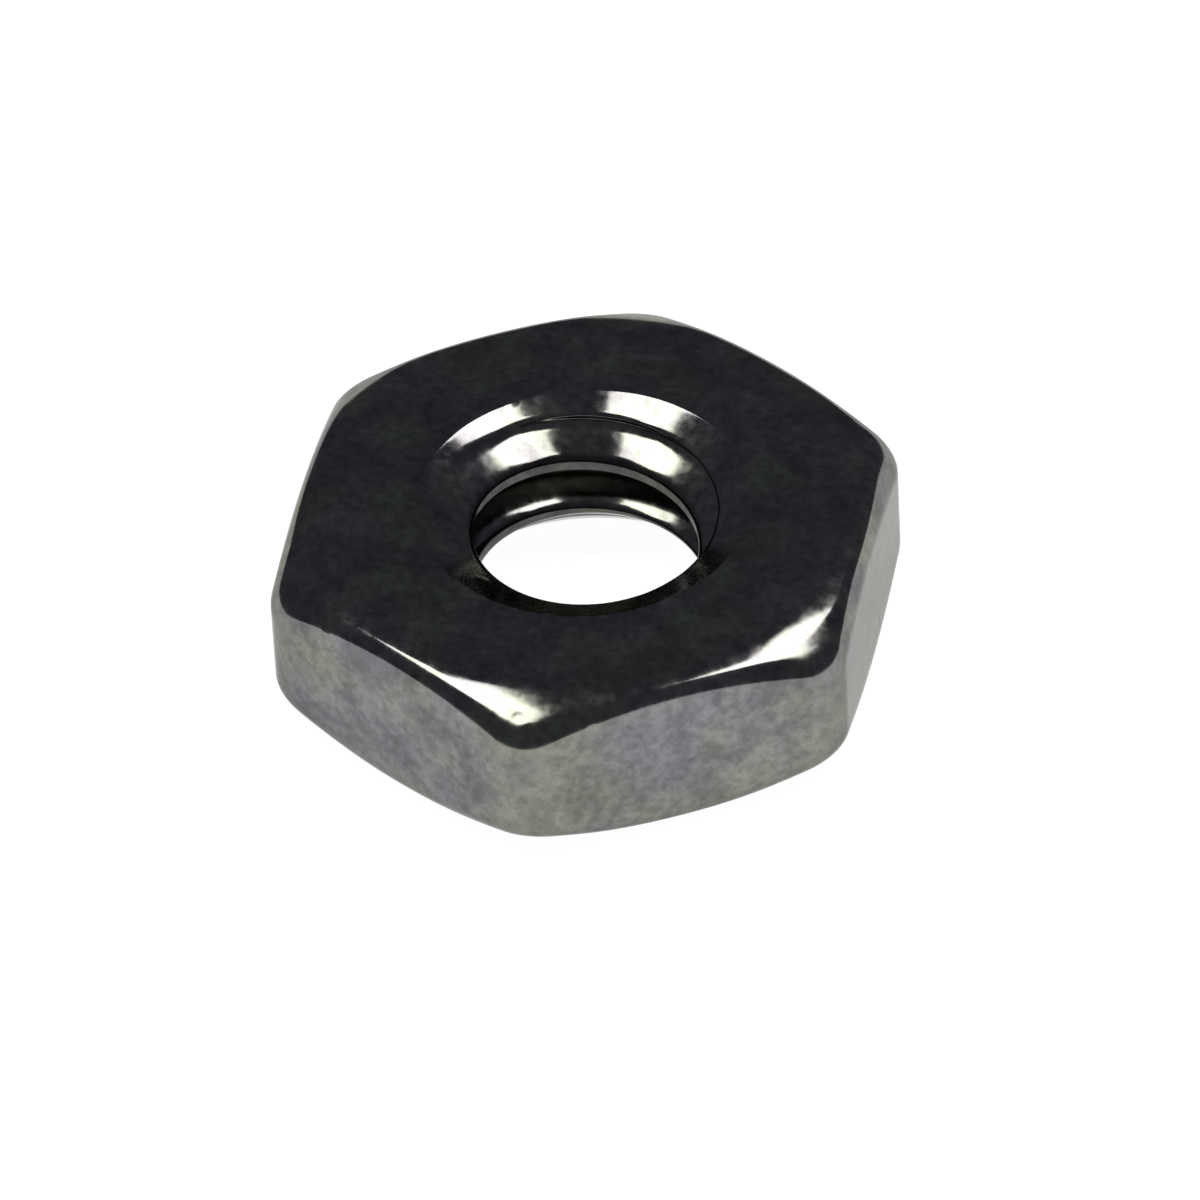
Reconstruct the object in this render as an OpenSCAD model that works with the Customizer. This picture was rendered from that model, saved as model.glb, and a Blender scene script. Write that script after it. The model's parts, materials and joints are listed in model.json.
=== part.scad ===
// Hex machine screw nut, size 10-24, chamfered on both faces and countersunk on both,
// with the deeper countersink in the lower face.
// The origin is the centre of the lower face, +Z runs up the thread's axis,
// and two of the six flats face +X and -X. Sizes are in millimetres.

/* [Hexagon] */
// Width across flats
across_flats = 9.525; // [9.20:0.005:9.525]
// Thickness from face to face
thickness = 3.06; // [2.97:0.005:3.30]
// Radius of the six upright corners
corner_radius = 0.95; // [0.30:0.05:1.20]

/* [Corner chamfers] */
// Diameter of the flat ring on each face
face_diameter = 8.95; // [8.40:0.05:9.30]
// Slope of the chamfer from the face, in degrees
chamfer_angle = 30; // [20:1:35]

/* [Thread] */
// Diameter at the thread's roots
major_diameter = 4.826; // [4.80:0.002:4.90]
// Bore diameter at the thread's crests
minor_diameter = 3.683; // [3.68:0.001:3.96]
// Threads per inch
threads_per_inch = 24; // [20:1:24]
// Angle at which the groove crosses the lower face, in degrees
thread_start = 248; // [68, 128, 248, 308]

/* [Countersinks] */
// Diameter of the mouth on the upper face
upper_mouth_diameter = 5.52; // [5.10:0.01:5.80]
// Slope of the upper countersink from the face, in degrees
upper_countersink_angle = 30; // [25:1:45]
// Diameter of the mouth on the lower face
lower_mouth_diameter = 6.02; // [5.10:0.01:6.10]
// Slope of the lower countersink from the face, in degrees
lower_countersink_angle = 45; // [30:1:45]

/* [Finish] */
// Colour of the plated steel
metal_colour = "silver"; // [silver, gray, darkgray]

/* [Hidden] */

// Circles and cylinders are true rounds, so this only sets how smooth they draw
$fn = 96;
// Cutting tools run past the faces that they cut by this much
overcut = 0.5;
inch = 25.4;

// Hexagon whose corners are the centres of the corner rounds
core_flats = across_flats - 2 * corner_radius;
// A hexagon's side is as long as the way from its middle to a corner
core_side = core_flats / sqrt(3);

// The cones that trim the corners reach past the far face, so that they take nothing off it
chamfer_reach = thickness + overcut;
chamfer_spread = chamfer_reach / tan(chamfer_angle);

// The 60 degree thread form: flats of an eighth of the pitch at the roots
pitch = inch / threads_per_inch;
root_flat = pitch / 8;
flank_fall = tan(30);
// The groove's tool starts this far inside the crests, where the bore is open
groove_clearance = 0.15;
groove_inner_radius = minor_diameter / 2 - groove_clearance;
groove_outer_radius = major_diameter / 2;
groove_mouth = root_flat + 2 * (groove_outer_radius - groove_inner_radius) * flank_fall;
// Rings of the groove in a turn, and turns enough to leave both faces
rings_per_turn = 48;
turns_past_face = 1;
groove_turns = ceil(thickness / pitch) + 2 * turns_past_face;
groove_rings = groove_turns * rings_per_turn;

// The bore's seam is turned from the groove's first ring by this many rings. The half ring
// keeps it between two rings, so that it never runs along one
seam_rings = 24.5;
bore_seam_turn = seam_rings * 360 / rings_per_turn;

// Outline of the nut: a hexagon with round corners, two flats facing +X and -X
module rounded_hexagon() {
    rotate(30) circle(r = core_side, $fn = 6);
    for (turn = [0 : 60 : 120])
        rotate(turn) square([across_flats, core_side], center = true);
    for (turn = [30 : 60 : 330])
        rotate(turn) translate([core_side, 0]) circle(r = corner_radius);
}

// A cone that narrows upwards to the face ring, with its narrow end at height zero
module chamfer_cone() {
    translate([0, 0, -chamfer_reach])
        cylinder(r1 = face_diameter / 2 + chamfer_spread, r2 = face_diameter / 2,
                 h = chamfer_reach);
}

// The hexagon bar's slice, before any cut
module blank() {
    linear_extrude(thickness) rounded_hexagon();
}

// Outer form: the hexagon with its corners chamfered by a cone at each face
module chamfered_blank() {
    intersection() {
        blank();
        translate([0, 0, thickness]) chamfer_cone();
        mirror([0, 0, 1]) chamfer_cone();
    }
}

// The bore at the thread's crests, turned so that its seam lies between two rings of the groove
module crest_bore() {
    rotate(thread_start + bore_seam_turn)
        translate([0, 0, -overcut]) cylinder(d = minor_diameter, h = thickness + 2 * overcut);
}

// A cone that opens the bore out to a mouth at height zero, with its wide end below
module countersink(mouth_diameter, slope) {
    depth = (mouth_diameter - minor_diameter) / 2 * tan(slope);
    flare = overcut / tan(slope);
    translate([0, 0, -overcut])
        cylinder(r1 = mouth_diameter / 2 + flare, r2 = minor_diameter / 2, h = depth + overcut);
}

// One ring of the groove's tool: four points of a trapezium, at this angle and height
function groove_ring(angle, height) = [
    for (corner = [[groove_inner_radius, -groove_mouth / 2], [groove_outer_radius, -root_flat / 2],
                   [groove_outer_radius, root_flat / 2], [groove_inner_radius, groove_mouth / 2]])
        [corner[0] * cos(angle), corner[0] * sin(angle), height + corner[1]]
];

// A right-hand helical groove of the 60 degree form, longer than the bore at both ends
module thread_groove() {
    points = [
        for (ring = [0 : groove_rings])
            each groove_ring(thread_start + 360 * ring / rings_per_turn,
                             pitch * (ring / rings_per_turn - turns_past_face))
    ];
    last = 4 * groove_rings;
    sides = [
        for (ring = [0 : groove_rings - 1], side = [0 : 3])
            let (a = 4 * ring + side, b = 4 * ring + (side + 1) % 4)
                each [[a, b, a + 4], [b, b + 4, a + 4]]
    ];
    ends = [[0, 2, 1], [0, 3, 2], [last, last + 1, last + 2], [last, last + 2, last + 3]];
    polyhedron(points = points, faces = concat(sides, ends), convexity = 10);
}

// The chamfered blank, bored and countersunk from both faces
module tapping_blank() {
    difference() {
        chamfered_blank();
        crest_bore();
        countersink(lower_mouth_diameter, lower_countersink_angle);
        translate([0, 0, thickness]) mirror([0, 0, 1])
            countersink(upper_mouth_diameter, upper_countersink_angle);
    }
}

// The whole nut is one piece of steel
module hex_nut() {
    color(metal_colour)
        difference() {
            tapping_blank();
            thread_groove();
        }
}

hex_nut();
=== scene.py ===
"""A hex machine screw nut of bright zinc-plated steel, on a pale floor under two softboxes."""

import json
import math

import bpy
import numpy as np
from mathutils import Matrix, Vector


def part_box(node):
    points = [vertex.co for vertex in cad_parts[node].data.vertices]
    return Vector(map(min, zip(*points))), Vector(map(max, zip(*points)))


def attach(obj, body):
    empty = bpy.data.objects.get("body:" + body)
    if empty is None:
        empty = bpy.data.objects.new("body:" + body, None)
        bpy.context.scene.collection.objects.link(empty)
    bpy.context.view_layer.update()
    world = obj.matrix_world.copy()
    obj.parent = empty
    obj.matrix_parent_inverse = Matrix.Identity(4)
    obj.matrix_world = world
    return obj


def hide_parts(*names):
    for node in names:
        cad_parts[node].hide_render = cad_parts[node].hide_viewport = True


bl_info = {
    "name": "Hex nut",
    "version": (1, 0, 0),
    "blender": (4, 5, 0),
    "location": "3D View > Sidebar > Hex nut",
    "description": "Builds a tapped hexagon nut, its plated steel and its studio stage",
    "category": "Add Mesh",
}

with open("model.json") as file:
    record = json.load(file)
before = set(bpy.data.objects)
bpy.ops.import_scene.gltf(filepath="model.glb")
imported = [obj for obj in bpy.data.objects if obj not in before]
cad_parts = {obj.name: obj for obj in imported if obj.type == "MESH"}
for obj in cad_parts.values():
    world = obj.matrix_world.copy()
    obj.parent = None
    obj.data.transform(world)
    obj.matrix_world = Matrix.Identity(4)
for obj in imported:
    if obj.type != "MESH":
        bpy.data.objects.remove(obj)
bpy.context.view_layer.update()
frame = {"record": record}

MM = 0.001
NODE = "hex_nut"
EDGE_ATTRIBUTE = "rubbed_edge"
# Mesh rows over each face, each chamfer, the wall and each countersink's rim
FACE_STEPS, CHAMFER_STEPS, WALL_STEPS, RIM_STEPS = 8, 18, 26, 6
# Edges nearer to the axis than this share of the outside aren't rubbed
OUTSIDE_SHARE = 0.7
# Wear of the upright corners, beside that of the tight edges
UPRIGHT_WEAR = 0.55
# Shortest step between two mesh points, so that no length divides by zero
SMALLEST_STEP = 1e-9
# Halvings in each search for a surface, and how far past the sharp outline the search begins
HALVINGS = 40
SEARCH_REACH = 1.02
# Shares of the width across flats between which the hexagon's outline lies
INNER_SHARE, OUTER_SHARE = 0.4, 0.65
# Slope of the thread's flanks from the radius, and half of the root's flat in pitches
FLANK_ANGLE = math.radians(30)
ROOT_HALF_FLAT = 1 / 16
# Bends, as one over the radius: where edge wear starts and is full, and a corner's full bend
GENTLE_BEND, TIGHT_BEND, CORNER_BEND = 1.5 / MM, 6 / MM, 1 / MM
# Sizes of the plating's mottle, crystals and hue patches, of the gaps in the edge wear,
# and of the dents' spacing and the areas that have them
MOTTLE_SIZE, CRYSTAL_SIZE, HUE_SIZE = 0.75 * MM, 0.17 * MM, 1.5 * MM
RUB_SIZE = 0.18 * MM
DING_SPACING, DING_AREA = 0.85 * MM, 1.6 * MM
# Noise lies mostly in the wide span, and the narrow one makes masks with clear borders from it
WIDE_SPAN, NARROW_SPAN = (0.3, 0.7), (0.38, 0.62)
# The share of the spacing within which a dent sinks, and the noise above which there are dents
DING_SPAN, DING_AREA_SPAN = (0.04, 0.20), (0.48, 0.60)
# The painted shade on the crests fades out between these distances beyond the crests
CREST_FADE = (0.02 * MM, 0.12 * MM)
# Height of the crystals beside the mottle's, and the roughness that rubbing adds
CRYSTAL_HEIGHT = 0.35
RUB_ROUGHNESS = 0.06
# The floor lies this far under the nut, so that the two surfaces don't coincide
FLOOR_GAP = 0.002 * MM
# Softboxes: middle to the right and beyond the nut, width and depth, all in panel heights
LEFT_PANEL = (-0.405, 0.04, 0.45, 0.60)
RIGHT_PANEL = (0.575, 0.10, 0.43, 0.76)
# Brightness of the thread's crests beside the rest, a painted shade that darkens them inside the
# bore
CREST_SHADE = 0.45
THREAD_MOUNT = next(m for m in frame["record"]["mounts"] if m["name"] == "thread")
NODE_LOW, NODE_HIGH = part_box(NODE)


# ---------------------------------------------------------------- settings

class NutForm(bpy.types.PropertyGroup):
    """Sizes of the nut."""

    across_flats: bpy.props.FloatProperty(
        name="Across flats", description="Width over two opposite flats",
        default=NODE_HIGH.x - NODE_LOW.x, unit="LENGTH", precision=5)
    thickness: bpy.props.FloatProperty(
        name="Thickness", description="Height from face to face",
        default=NODE_HIGH.z - NODE_LOW.z, unit="LENGTH", precision=5)
    corner_radius: bpy.props.FloatProperty(
        name="Corner radius", description="Rounding of the six upright corners",
        default=0.95 * MM, unit="LENGTH", precision=5)
    face_diameter: bpy.props.FloatProperty(
        name="Face diameter", description="Outer diameter of the flat ring on each face",
        default=9.05 * MM, unit="LENGTH", precision=5)
    chamfer_slope: bpy.props.FloatProperty(
        name="Chamfer slope", description="Fall of the corner chamfer from the face",
        default=math.radians(30), unit="ROTATION")
    shoulder_radius: bpy.props.FloatProperty(
        name="Shoulder radius", description="Rounding where the chamfer meets the flats",
        default=0.30 * MM, unit="LENGTH", precision=5)
    face_edge_radius: bpy.props.FloatProperty(
        name="Face edge radius", description="Rounding where the face meets the chamfer",
        default=0.18 * MM, unit="LENGTH", precision=5)
    bore_radius: bpy.props.FloatProperty(
        name="Bore radius", description="Radius at the thread's crests",
        default=THREAD_MOUNT["dims"]["r_mm"] * MM, unit="LENGTH", precision=5)
    root_radius: bpy.props.FloatProperty(
        name="Root radius", description="Radius at the thread's roots",
        default=2.413 * MM, unit="LENGTH", precision=5)
    pitch: bpy.props.FloatProperty(
        name="Pitch", description="Rise of the thread in one turn",
        default=25.4 / 24 * MM, unit="LENGTH", precision=5)
    thread_start: bpy.props.FloatProperty(
        name="Thread start", description="Angle at which a groove crosses the lower face",
        default=math.radians(248), unit="ROTATION")
    thread_edge: bpy.props.FloatProperty(
        name="Thread edge", description="Softness of the thread's crests and roots",
        default=0.12 * MM, unit="LENGTH", precision=5)
    upper_mouth_radius: bpy.props.FloatProperty(
        name="Upper mouth radius", description="Radius of the countersink at the upper face",
        default=2.76 * MM, unit="LENGTH", precision=5)
    upper_mouth_slope: bpy.props.FloatProperty(
        name="Upper mouth slope", description="Fall of the upper countersink from the face",
        default=math.radians(30), unit="ROTATION")
    lower_mouth_radius: bpy.props.FloatProperty(
        name="Lower mouth radius", description="Radius of the countersink at the lower face",
        default=3.01 * MM, unit="LENGTH", precision=5)
    lower_mouth_slope: bpy.props.FloatProperty(
        name="Lower mouth slope", description="Rise of the lower countersink from the face",
        default=math.radians(45), unit="ROTATION")
    mouth_edge_radius: bpy.props.FloatProperty(
        name="Mouth edge radius", description="Rounding of each countersink's rim",
        default=0.06 * MM, unit="LENGTH", precision=5)
    angle_steps: bpy.props.IntProperty(
        name="Angle steps", description="Mesh columns round the nut", default=480, min=90)
    bore_rows: bpy.props.IntProperty(
        name="Bore rows", description="Mesh rows down the bore", default=112, min=60)


class NutFinish(bpy.types.PropertyGroup):
    """Look of the plated steel."""

    steel: bpy.props.FloatVectorProperty(
        name="Steel", description="Reflectance of the plated steel", subtype="COLOR", size=3,
        default=(0.172, 0.167, 0.181), min=0.0, max=1.0)
    warm_steel: bpy.props.FloatVectorProperty(
        name="Warm steel", description="Reflectance where the passivation is thicker",
        subtype="COLOR", size=3, default=(0.174, 0.182, 0.159), min=0.0, max=1.0)
    rubbed_steel: bpy.props.FloatVectorProperty(
        name="Rubbed steel", description="Reflectance where edges are rubbed bright",
        subtype="COLOR", size=3, default=(0.27, 0.275, 0.235), min=0.0, max=1.0)
    edge_tint: bpy.props.FloatVectorProperty(
        name="Edge tint", description="Dims the sheen at grazing angles", subtype="COLOR",
        size=3, default=(0.62, 0.63, 0.61), min=0.0, max=1.0)
    edge_wear: bpy.props.FloatProperty(
        name="Edge wear", description="How far the edges are rubbed bright",
        default=0.6, min=0.0, max=1.0, subtype="FACTOR")
    roughness: bpy.props.FloatProperty(
        name="Roughness", description="Roughness of the polished plating",
        default=0.115, min=0.0, max=1.0, subtype="FACTOR")
    grain_height: bpy.props.FloatProperty(
        name="Grain height", description="Depth of the plating's fine grain",
        default=0.0005 * MM, unit="LENGTH", precision=6)
    ding_depth: bpy.props.FloatProperty(
        name="Ding depth", description="Depth of the dents from tumbling",
        default=0.006 * MM, unit="LENGTH", precision=6)


class Stage(bpy.types.PropertyGroup):
    """Floor, lights and camera."""

    floor_colour: bpy.props.FloatVectorProperty(
        name="Floor", description="Colour of the pale floor", subtype="COLOR", size=3,
        default=(0.30, 0.30, 0.30), min=0.0, max=1.0)
    floor_width: bpy.props.FloatProperty(
        name="Floor width", description="Width of the square floor", default=1.0, unit="LENGTH")
    floor_glow: bpy.props.FloatProperty(
        name="Floor glow", description="Light that the floor's white panel gives of its own",
        default=0.95, min=0.0)
    surround: bpy.props.FloatVectorProperty(
        name="Surround", description="Colour of the dim room", subtype="COLOR", size=3,
        default=(0.095, 0.10, 0.115), min=0.0, max=1.0)
    softbox_radiance: bpy.props.FloatProperty(
        name="Softbox radiance", description="Brightness of each softbox, in W/(m2 sr)",
        default=6.8, min=0.0)
    softbox_colour: bpy.props.FloatVectorProperty(
        name="Softbox colour", description="Slightly warm light", subtype="COLOR", size=3,
        default=(1.0, 0.985, 0.91), min=0.0, max=1.0)
    panel_height: bpy.props.FloatProperty(
        name="Panel height", description="Height of the softboxes over the nut",
        default=0.30, unit="LENGTH")
    azimuth: bpy.props.FloatProperty(
        name="Azimuth", description="Camera's turn about the nut from the -Y side",
        default=math.radians(13.75), unit="ROTATION")
    elevation: bpy.props.FloatProperty(
        name="Elevation", description="Camera's height above the floor as an angle",
        default=math.radians(42.3), unit="ROTATION")
    roll: bpy.props.FloatProperty(
        name="Roll", description="Camera's tilt about its own line of sight",
        default=math.radians(-3.1), unit="ROTATION")
    focal_length: bpy.props.FloatProperty(
        name="Focal length", description="Long lens, in millimetres", default=400.0, min=20.0)
    frame_width: bpy.props.FloatProperty(
        name="Frame width", description="Width that the camera frames at the nut",
        default=19.64 * MM, unit="LENGTH", precision=5)
    aim_right: bpy.props.FloatProperty(
        name="Aim right", description="How far the aim is to the right of the nut's middle",
        default=0.205 * MM, unit="LENGTH", precision=5)
    aim_up: bpy.props.FloatProperty(
        name="Aim up", description="How far the aim is below or above the nut's middle",
        default=-0.466 * MM, unit="LENGTH", precision=5)


# ---------------------------------------------------------------- nut form

def soft_max(a, b, reach):
    """The larger of two fields, blended where they are within reach of each other."""
    near = np.maximum(reach - np.abs(a - b), 0.0) / reach
    return np.maximum(a, b) + near * near * reach / 4


def soft_min(a, b, reach):
    """The smaller of two fields, blended in the same way."""
    return -soft_max(-a, -b, reach)


def round_join(a, b, radius):
    """Distance outside two faces whose common edge is rounded to this radius."""
    rounded = np.hypot(np.maximum(a + radius, 0.0), np.maximum(b + radius, 0.0)) - radius
    return np.where((a > -radius) & (b > -radius), rounded, np.maximum(a, b))


def flats_distance(form, angle, radius):
    """Distance outside the six flats and their rounded corners."""
    sixth = math.pi / 3
    turn = np.mod(angle + sixth / 2, sixth) - sixth / 2
    across = radius * np.cos(turn)
    along = radius * np.abs(np.sin(turn))
    core = form.across_flats / 2 - form.corner_radius
    core_half_side = core * math.tan(sixth / 2)
    on_corner = np.hypot(across - core, along - core_half_side) - form.corner_radius
    on_flat = across - form.across_flats / 2
    return np.where(along > core_half_side, on_corner, on_flat)


def flats_radius(form, angle):
    """Radius of the rounded hexagon at each angle."""
    low = np.full_like(angle, form.across_flats * INNER_SHARE)
    high = np.full_like(angle, form.across_flats * OUTER_SHARE)
    for _ in range(HALVINGS):
        middle = (low + high) / 2
        inside = flats_distance(form, angle, middle) < 0
        low = np.where(inside, middle, low)
        high = np.where(inside, high, middle)
    return (low + high) / 2


def outside_distance(form, angle, radius, height):
    """Distance outside the blank: flats, two faces and two chamfer cones, with rounded joins."""
    slope = form.chamfer_slope
    wall = flats_distance(form, angle, radius)
    rise = (radius - form.face_diameter / 2) * math.tan(slope)
    joined = wall
    for above in (height - form.thickness, -height):
        cone = (above + rise) * math.cos(slope)
        crown = round_join(above, cone, form.face_edge_radius)
        joined = round_join(joined, crown, form.shoulder_radius)
    return joined


def eased(count):
    """Steps from 0 to 1, closer together at both ends."""
    return (1 - np.cos(np.linspace(0, math.pi, count))) / 2


def outline_rows(form, angle, upper_rim, lower_rim):
    """Radius and height of each row over the outside, from the upper rim down to the lower one."""
    ring = form.face_diameter / 2
    edge = flats_radius(form, angle)
    drop = (edge - ring) * math.tan(form.chamfer_slope)
    top = form.thickness
    corners = [
        (np.full_like(angle, upper_rim), np.full_like(angle, top)),
        (np.full_like(angle, ring), np.full_like(angle, top)),
        (edge, top - drop),
        (edge, drop),
        (np.full_like(angle, ring), np.zeros_like(angle)),
        (np.full_like(angle, lower_rim), np.zeros_like(angle)),
    ]
    steps = (FACE_STEPS, CHAMFER_STEPS, WALL_STEPS, CHAMFER_STEPS, FACE_STEPS)
    radii, heights = [], []
    for (r0, z0), (r1, z1), count in zip(corners, corners[1:], steps):
        for share in eased(count + 1)[:-1]:
            radii.append(r0 + (r1 - r0) * share)
            heights.append(z0 + (z1 - z0) * share)
    radii.append(corners[-1][0])
    heights.append(corners[-1][1])
    radii, heights = np.array(radii), np.array(heights)
    # Each point is drawn in along the line to the section's middle until it meets the rounded form
    middle_radius = (form.lower_mouth_radius + form.across_flats / 2) / 2
    middle_height = top / 2
    low, high = np.zeros_like(radii), np.ones_like(radii) * SEARCH_REACH
    for _ in range(HALVINGS):
        share = (low + high) / 2
        outside = outside_distance(
            form, angle[None, :],
            middle_radius + (radii - middle_radius) * share,
            middle_height + (heights - middle_height) * share) > 0
        high = np.where(outside, share, high)
        low = np.where(outside, low, share)
    share = (low + high) / 2
    return (middle_radius + (radii - middle_radius) * share,
            middle_height + (heights - middle_height) * share)


def thread_radius(form, angle, height):
    """Radius of the tapped bore: a 60 degree groove that climbs to the right, and its crests."""
    climb = form.pitch * (angle - form.thread_start) / (2 * math.pi)
    from_groove = np.abs(np.mod(height - climb + form.pitch / 2, form.pitch) - form.pitch / 2)
    root_half_flat = form.pitch * ROOT_HALF_FLAT
    flank = form.root_radius - (from_groove - root_half_flat) / math.tan(FLANK_ANGLE)
    grooved = soft_min(flank, np.full_like(flank, form.root_radius), form.thread_edge)
    return soft_max(grooved, np.full_like(flank, form.bore_radius), form.thread_edge)


def bore_radius(form, angle, height):
    """Radius of the bore with its countersinks."""
    radius = thread_radius(form, angle, height)
    for depth, mouth, slope in (
            (form.thickness - height, form.upper_mouth_radius, form.upper_mouth_slope),
            (height, form.lower_mouth_radius, form.lower_mouth_slope)):
        radius = soft_max(radius, mouth - depth / math.tan(slope), form.thread_edge)
    return radius


def rim_arc(form, mouth_radius, slope):
    """Radii and depths of the rounded rim, from the flat face round into the countersink."""
    edge = form.mouth_edge_radius
    start = mouth_radius + edge * math.tan(slope / 2)
    turns = np.linspace(0, slope, RIM_STEPS)
    return start - edge * np.sin(turns), edge * (1 - np.cos(turns))


def nut_rows(form):
    """All rows of the closed skin, as radius, height and angle arrays of rows by columns."""
    angle = np.linspace(0, 2 * math.pi, form.angle_steps, endpoint=False)
    upper_r, upper_depth = rim_arc(form, form.upper_mouth_radius, form.upper_mouth_slope)
    lower_r, lower_depth = rim_arc(form, form.lower_mouth_radius, form.lower_mouth_slope)
    radii, heights = outline_rows(form, angle, upper_r[0], lower_r[0])
    levels = np.linspace(lower_depth[-1], form.thickness - upper_depth[-1], form.bore_rows + 2)
    bore_z = np.repeat(levels[1:-1, None], len(angle), 1)
    bore_r = bore_radius(form, angle[None, :], bore_z)
    rings = np.ones_like(angle)[None, :]
    radii = np.vstack([radii, lower_r[1:, None] * rings, bore_r, upper_r[:0:-1, None] * rings])
    heights = np.vstack([heights, lower_depth[1:, None] * rings, bore_z,
                         form.thickness - upper_depth[:0:-1, None] * rings])
    return radii, heights, np.repeat(angle[None, :], len(radii), 0)


def skin_mesh(name, radii, heights, angles):
    """A closed mesh from rows of points: each row is a ring, and the last row meets the first."""
    rows, columns = radii.shape
    points = np.stack([radii * np.cos(angles), radii * np.sin(angles), heights], -1).reshape(-1, 3)
    row, column = np.meshgrid(np.arange(rows), np.arange(columns), indexing="ij")
    below, beside = (row + 1) % rows, (column + 1) % columns
    quads = np.stack([row * columns + column, below * columns + column,
                      below * columns + beside, row * columns + beside], -1).reshape(-1, 4)
    mesh = bpy.data.meshes.new(name)
    mesh.vertices.add(len(points))
    mesh.vertices.foreach_set("co", points.astype(np.float32).ravel())
    mesh.loops.add(quads.size)
    mesh.loops.foreach_set("vertex_index", quads.astype(np.int32).ravel())
    mesh.polygons.add(len(quads))
    mesh.polygons.foreach_set("loop_start", np.arange(0, quads.size, 4, dtype=np.int32))
    mesh.update(calc_edges=True)
    mesh.validate()
    mesh.shade_smooth()
    edge = mesh.attributes.new(EDGE_ATTRIBUTE, "FLOAT", "POINT")
    edge.data.foreach_set("value", outer_edges(radii, points.reshape(rows, columns, 3)).ravel())
    return mesh


def bend(points, axis):
    """How sharply the surface bends along rows or columns, as one over the radius."""
    step = np.roll(points, -1, axis) - points
    length = np.maximum(np.linalg.norm(step, axis=-1, keepdims=True), SMALLEST_STEP)
    heading = step / length
    turn = np.linalg.norm(heading - np.roll(heading, 1, axis), axis=-1)
    return turn * 2 / (length + np.roll(length, 1, axis))[..., 0]


def outer_edges(radii, points):
    """Wear of the outside: 1 on its tight edges, less on its upright corners, 0 on its flats."""
    edges = np.clip((bend(points, 0) - GENTLE_BEND) / (TIGHT_BEND - GENTLE_BEND), 0, 1)
    uprights = np.clip(bend(points, 1) / CORNER_BEND, 0, 1) * UPRIGHT_WEAR
    outside = radii > OUTSIDE_SHARE * radii.max(0)
    return (np.maximum(edges, uprights) * outside).astype(np.float32)


# ---------------------------------------------------------------- materials

def new_effect(name, inputs, outputs):
    """A shader node group with these sockets, and its two end nodes."""
    group = bpy.data.node_groups.new(name, "ShaderNodeTree")
    for label, kind, default in inputs:
        socket = group.interface.new_socket(label, in_out="INPUT", socket_type=kind)
        if default is not None:
            socket.default_value = default
    for label, kind in outputs:
        group.interface.new_socket(label, in_out="OUTPUT", socket_type=kind)
    return group, group.nodes.new("NodeGroupInput"), group.nodes.new("NodeGroupOutput")


def noise(group, vector, size, detail, roughness=0.5, distortion=0.0):
    """Noise whose patches are this size in metres."""
    node = group.nodes.new("ShaderNodeTexNoise")
    node.inputs["Scale"].default_value = 1 / size
    node.inputs["Detail"].default_value = detail
    node.inputs["Roughness"].default_value = roughness
    node.inputs["Distortion"].default_value = distortion
    group.links.new(vector, node.inputs["Vector"])
    return node.outputs["Fac"]


def spread(group, value, source, target):
    """The value mapped from one low and high to another, smoothly and clamped."""
    node = group.nodes.new("ShaderNodeMapRange")
    node.interpolation_type = "SMOOTHSTEP"
    for label, number in zip(("From Min", "From Max", "To Min", "To Max"), (*source, *target)):
        node.inputs[label].default_value = number
    group.links.new(value, node.inputs["Value"])
    return node.outputs["Result"]


def combine(group, operation, first, second):
    """A sum, product or other pairing of two values, each a socket or a number."""
    node = group.nodes.new("ShaderNodeMath")
    node.operation = operation
    for socket, value in zip(node.inputs, (first, second)):
        if isinstance(value, (int, float)):
            socket.default_value = value
        else:
            group.links.new(value, socket)
    return node.outputs["Value"]


def plating_mottle():
    """Uneven zinc crystals: a shade factor, a hue mask and a fine height."""
    group, start, end = new_effect(
        "plating_mottle", [("Vector", "NodeSocketVector", None)],
        [("Shade", "NodeSocketFloat"), ("Hue", "NodeSocketFloat"), ("Height", "NodeSocketFloat")])
    vector = start.outputs["Vector"]
    patches = noise(group, vector, MOTTLE_SIZE, 3, 0.6, 0.4)
    crystals = noise(group, vector, CRYSTAL_SIZE, 3, 0.6)
    shade = combine(group, "MULTIPLY", spread(group, patches, WIDE_SPAN, (0.80, 1.20)),
                    spread(group, crystals, WIDE_SPAN, (0.82, 1.18)))
    group.links.new(shade, end.inputs["Shade"])
    hue = spread(group, noise(group, vector, HUE_SIZE, 2), NARROW_SPAN, (0, 1))
    group.links.new(hue, end.inputs["Hue"])
    low_crystals = combine(group, "MULTIPLY", crystals, CRYSTAL_HEIGHT)
    group.links.new(combine(group, "ADD", low_crystals, patches), end.inputs["Height"])
    return group


def edge_rub():
    """Rubbed edges: a mask that is high along convex edges and broken up by noise."""
    group, start, end = new_effect(
        "edge_rub", [("Vector", "NodeSocketVector", None)], [("Mask", "NodeSocketFloat")])
    attribute = group.nodes.new("ShaderNodeAttribute")
    attribute.attribute_name = EDGE_ATTRIBUTE
    convex = attribute.outputs["Fac"]
    broken = spread(group, noise(group, start.outputs["Vector"], RUB_SIZE, 4, 0.65),
                    NARROW_SPAN, (0.25, 1))
    group.links.new(combine(group, "MULTIPLY", convex, broken), end.inputs["Mask"])
    return group


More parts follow.
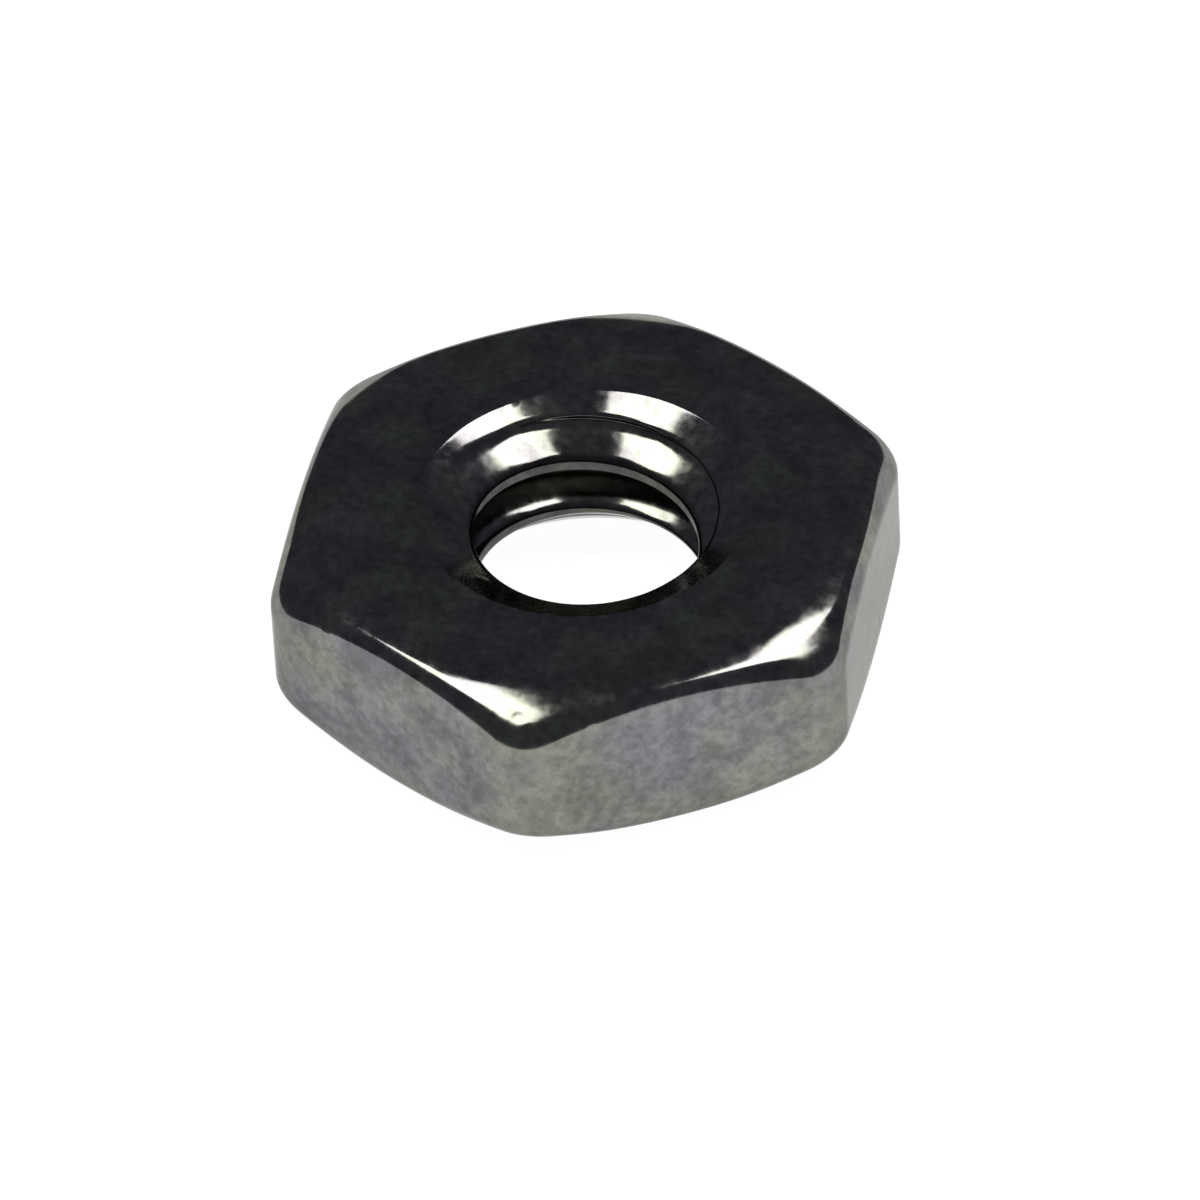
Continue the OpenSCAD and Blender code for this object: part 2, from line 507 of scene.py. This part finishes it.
def tumble_dings():
    """Small dents from tumbling in bulk: a height that drops in scattered spots."""
    group, start, end = new_effect(
        "tumble_dings", [("Vector", "NodeSocketVector", None)], [("Height", "NodeSocketFloat")])
    cells = group.nodes.new("ShaderNodeTexVoronoi")
    cells.inputs["Scale"].default_value = 1 / DING_SPACING
    group.links.new(start.outputs["Vector"], cells.inputs["Vector"])
    dent = spread(group, cells.outputs["Distance"], DING_SPAN, (-1, 0))
    chosen = spread(group, noise(group, start.outputs["Vector"], DING_AREA, 1),
                    DING_AREA_SPAN, (0, 1))
    group.links.new(combine(group, "MULTIPLY", dent, chosen), end.inputs["Height"])
    return group


def painted_crest_shade(form):
    """Painted shade on the thread's crests inside the bore: a shade factor that is low at the
    crests' radius.
    """
    group, start, end = new_effect(
        "painted_crest_shade", [("Vector", "NodeSocketVector", None)], [("Shade", "NodeSocketFloat")])
    flat = group.nodes.new("ShaderNodeVectorMath")
    flat.operation = "MULTIPLY"
    flat.inputs[1].default_value = (1, 1, 0)
    group.links.new(start.outputs["Vector"], flat.inputs[0])
    radius = group.nodes.new("ShaderNodeVectorMath")
    radius.operation = "LENGTH"
    group.links.new(flat.outputs["Vector"], radius.inputs[0])
    fade = [form.bore_radius + distance for distance in CREST_FADE]
    group.links.new(spread(group, radius.outputs["Value"], fade, (CREST_SHADE, 1)),
                    end.inputs["Shade"])
    return group


def use_effect(tree, group, vector):
    """Place an effect in a material and give back its outputs."""
    node = tree.nodes.new("ShaderNodeGroup")
    node.node_tree = group
    tree.links.new(vector, node.inputs["Vector"])
    return node.outputs


def bump(tree, height, distance):
    """A Bump node that raises this height by the distance in metres."""
    node = tree.nodes.new("ShaderNodeBump")
    node.inputs["Strength"].default_value = 1.0
    node.inputs["Distance"].default_value = distance
    tree.links.new(height, node.inputs["Height"])
    return node


def steel_material(form, finish):
    """Bright zinc plating over steel: mottled, rubbed at the edges, lightly dented, and with
    painted shade on the thread's crests.
    """
    material = bpy.data.materials.new("bright_zinc_plate")
    material.use_nodes = True
    tree = material.node_tree
    shader = tree.nodes["Principled BSDF"]
    shader.inputs["Metallic"].default_value = 1.0
    shader.inputs["Specular Tint"].default_value = (*finish.edge_tint, 1)
    place = tree.nodes.new("ShaderNodeTexCoord").outputs["Object"]
    mottle = use_effect(tree, plating_mottle(), place)
    rub = use_effect(tree, edge_rub(), place)["Mask"]
    dings = use_effect(tree, tumble_dings(), place)["Height"]

    hue = tree.nodes.new("ShaderNodeMix")
    hue.data_type = "RGBA"
    hue.inputs["A"].default_value = (*finish.steel, 1)
    hue.inputs["B"].default_value = (*finish.warm_steel, 1)
    tree.links.new(mottle["Hue"], hue.inputs["Factor"])
    shaded = tree.nodes.new("ShaderNodeVectorMath")
    shaded.operation = "SCALE"
    tree.links.new(hue.outputs["Result"], shaded.inputs["Vector"])
    # Painted shade: the colour is darkened at the thread's crests inside the bore
    crests = use_effect(tree, painted_crest_shade(form), place)["Shade"]
    tree.links.new(combine(tree, "MULTIPLY", mottle["Shade"], crests), shaded.inputs["Scale"])
    rubbed = tree.nodes.new("ShaderNodeMix")
    rubbed.data_type = "RGBA"
    rubbed.inputs["B"].default_value = (*finish.rubbed_steel, 1)
    tree.links.new(combine(tree, "MULTIPLY", rub, finish.edge_wear), rubbed.inputs["Factor"])
    tree.links.new(shaded.outputs["Vector"], rubbed.inputs["A"])
    tree.links.new(rubbed.outputs["Result"], shader.inputs["Base Color"])

    satin = combine(tree, "MULTIPLY", mottle["Shade"], finish.roughness)
    worn = combine(tree, "ADD", satin, combine(tree, "MULTIPLY", rub, RUB_ROUGHNESS))
    tree.links.new(worn, shader.inputs["Roughness"])

    grain = bump(tree, mottle["Height"], finish.grain_height)
    dented = bump(tree, dings, finish.ding_depth)
    tree.links.new(grain.outputs["Normal"], dented.inputs["Normal"])
    tree.links.new(dented.outputs["Normal"], shader.inputs["Normal"])
    return material


def floor_material(stage):
    """A pale matt floor that glows a little, so that it reads white."""
    material = bpy.data.materials.new("pale_floor")
    material.use_nodes = True
    shader = material.node_tree.nodes["Principled BSDF"]
    shader.inputs["Base Color"].default_value = (*stage.floor_colour, 1)
    shader.inputs["Roughness"].default_value = 0.9
    shader.inputs["Emission Color"].default_value = (1, 1, 1, 1)
    shader.inputs["Emission Strength"].default_value = stage.floor_glow
    return material


# ---------------------------------------------------------------- stage

def camera_axes(stage):
    """Right, up and backward directions of the camera."""
    a, e = stage.azimuth, stage.elevation
    back = Vector((math.sin(a) * math.cos(e), -math.cos(a) * math.cos(e), math.sin(e)))
    right = Vector((math.cos(a), math.sin(a), 0))
    up = back.cross(right)
    c, s = math.cos(stage.roll), math.sin(stage.roll)
    return c * right + s * up, -s * right + c * up, back


def add_camera(stage, target):
    """A long lens that looks down on the nut."""
    right, up, back = camera_axes(stage)
    data = bpy.data.cameras.new("long_lens")
    data.lens = stage.focal_length
    distance = stage.frame_width * stage.focal_length / data.sensor_width
    data.clip_start, data.clip_end = distance / 100, distance * 100
    camera = bpy.data.objects.new("long_lens", data)
    aim = target + right * stage.aim_right + up * stage.aim_up
    place = Matrix((right, up, back)).transposed().to_4x4()
    place.translation = aim + back * distance
    camera.matrix_world = place
    bpy.context.scene.collection.objects.link(camera)
    bpy.context.scene.camera = camera


def add_softbox(name, stage, target, panel):
    """A level panel over the nut, to one side of the camera's line of sight."""
    side, away, width, depth = panel
    turn = Matrix.Rotation(stage.azimuth, 3, "Z")
    data = bpy.data.lights.new(name, "AREA")
    data.shape = "RECTANGLE"
    data.size, data.size_y = width * stage.panel_height, depth * stage.panel_height
    data.color = stage.softbox_colour
    data.energy = stage.softbox_radiance * math.pi * data.size * data.size_y
    light = bpy.data.objects.new(name, data)
    light.location = target + turn @ Vector((side, away, 1)) * stage.panel_height
    light.rotation_euler.z = stage.azimuth
    bpy.context.scene.collection.objects.link(light)


class HEXNUT_OT_nut(bpy.types.Operator):
    """Build the tapped nut in plated steel, in place of its plain model"""

    bl_idname = "hexnut.nut"
    bl_label = "Nut"

    def execute(self, context):
        form, finish = context.scene.hexnut_form, context.scene.hexnut_finish
        mesh = skin_mesh("tapped_nut", *nut_rows(form))
        nut = bpy.data.objects.new("tapped_nut", mesh)
        context.scene.collection.objects.link(nut)
        mesh.materials.append(steel_material(form, finish))
        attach(nut, "root")
        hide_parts(NODE)
        return {"FINISHED"}


class HEXNUT_OT_stage(bpy.types.Operator):
    """Add the floor, the softboxes and the camera"""

    bl_idname = "hexnut.stage"
    bl_label = "Stage"

    def execute(self, context):
        stage = context.scene.hexnut_stage
        target = Vector((0, 0, context.scene.hexnut_form.thickness / 2))
        half = stage.floor_width / 2
        mesh = bpy.data.meshes.new("floor")
        mesh.from_pydata([(x * half, y * half, -FLOOR_GAP) for x, y in
                          ((-1, -1), (1, -1), (1, 1), (-1, 1))], [], [(0, 1, 2, 3)])
        mesh.materials.append(floor_material(stage))
        floor = bpy.data.objects.new("floor", mesh)
        context.scene.collection.objects.link(floor)
        world = bpy.data.worlds.new("dim_room")
        world.use_nodes = True
        world.node_tree.nodes["Background"].inputs["Color"].default_value = (*stage.surround, 1)
        context.scene.world = world
        context.scene.view_settings.view_transform = "Standard"
        add_softbox("left_softbox", stage, target, LEFT_PANEL)
        add_softbox("right_softbox", stage, target, RIGHT_PANEL)
        add_camera(stage, target)
        return {"FINISHED"}


class HEXNUT_PT_panel(bpy.types.Panel):
    """Lists the steps that build the nut and its stage"""

    bl_idname = "HEXNUT_PT_panel"
    bl_label = "Hex nut"
    bl_space_type = "VIEW_3D"
    bl_region_type = "UI"
    bl_category = "Hex nut"

    def draw(self, context):
        column = self.layout.column()
        column.operator("hexnut.nut")
        column.operator("hexnut.stage")


CLASSES = (NutForm, NutFinish, Stage, HEXNUT_OT_nut, HEXNUT_OT_stage, HEXNUT_PT_panel)


def register():
    """Add the settings, the operators and the panel."""
    for cls in CLASSES:
        bpy.utils.register_class(cls)
    bpy.types.Scene.hexnut_form = bpy.props.PointerProperty(type=NutForm)
    bpy.types.Scene.hexnut_finish = bpy.props.PointerProperty(type=NutFinish)
    bpy.types.Scene.hexnut_stage = bpy.props.PointerProperty(type=Stage)


def unregister():
    """Take them away again."""
    del bpy.types.Scene.hexnut_stage
    del bpy.types.Scene.hexnut_finish
    del bpy.types.Scene.hexnut_form
    for cls in reversed(CLASSES):
        bpy.utils.unregister_class(cls)


def main():
    """Build the nut and its stage."""
    register()
    bpy.ops.hexnut.nut()
    bpy.ops.hexnut.stage()


if __name__ == "__main__":
    main()
